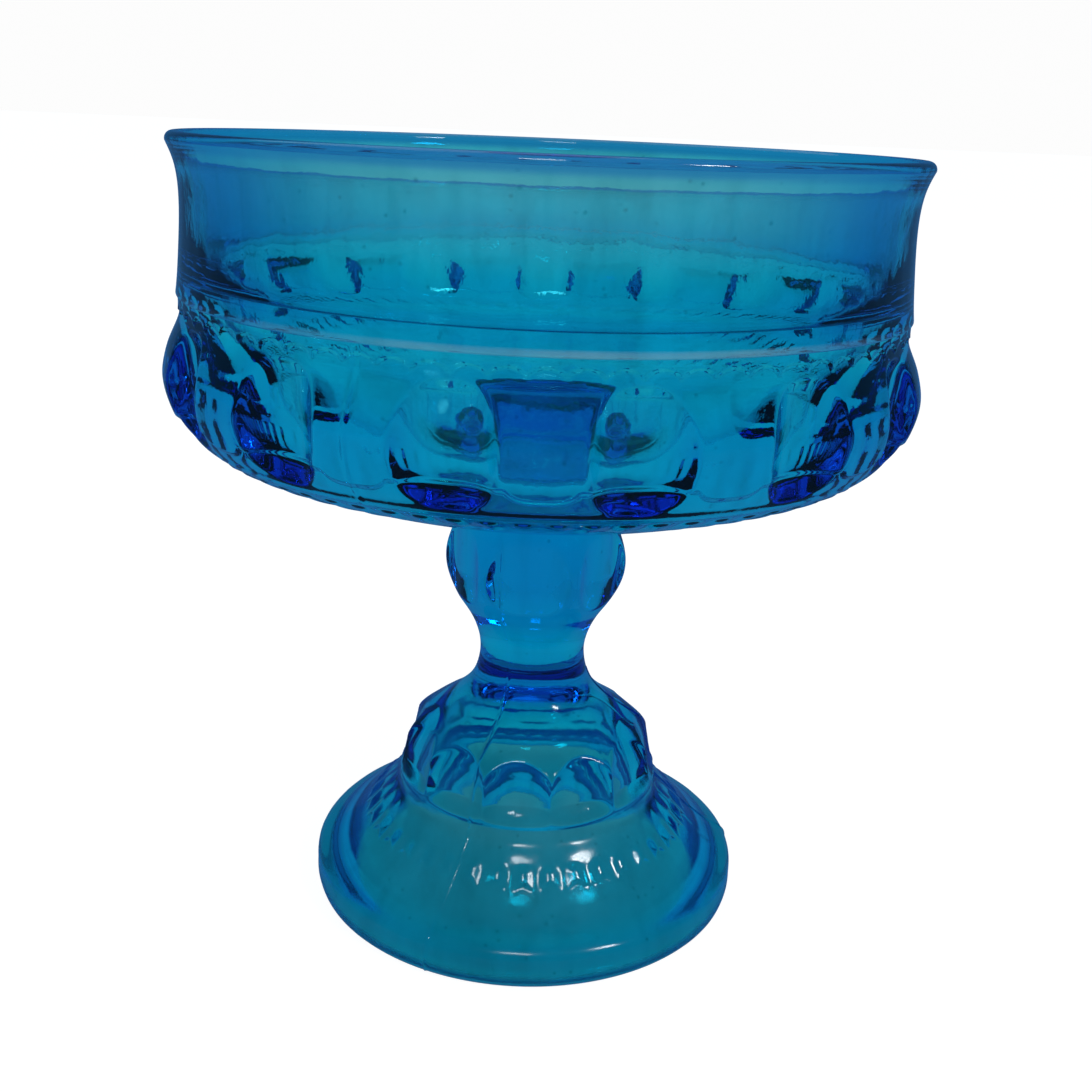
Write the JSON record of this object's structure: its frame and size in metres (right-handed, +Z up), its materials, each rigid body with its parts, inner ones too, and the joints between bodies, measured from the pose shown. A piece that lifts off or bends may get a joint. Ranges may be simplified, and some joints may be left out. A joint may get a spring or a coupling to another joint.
{
  "type": "footed glass bowl",
  "caption": "Round pressed-glass bowl with a flared collar and thumbprint body on a knopped stem, a domed pedestal and a flaring hollow foot.",
  "frame": {"origin": "centre of the circle that the foot stands on", "axes": "+Z up along the bowl's axis, -Y towards the front, +X to the right"},
  "size_m": [0.1311, 0.1307, 0.14],
  "materials": {
    "collar_glass": "clear blue-green pressed glass, fire-polished, with a faint smoky lustre",
    "body_glass": "clear blue-green pressed glass, fire-polished",
    "stem_glass": "clear blue-green pressed glass, fire-polished, solid",
    "dome_glass": "clear blue-green pressed glass, fire-polished",
    "foot_glass": "clear blue-green pressed glass, fire-polished, worn on its bearing edge"
  },
  "bodies": {
    "root": {"rim_collar": "collar_glass", "bowl_body": "body_glass", "stem_knop": "stem_glass", "pedestal_dome": "dome_glass", "foot": "foot_glass"}
  },
  "joints": []
}
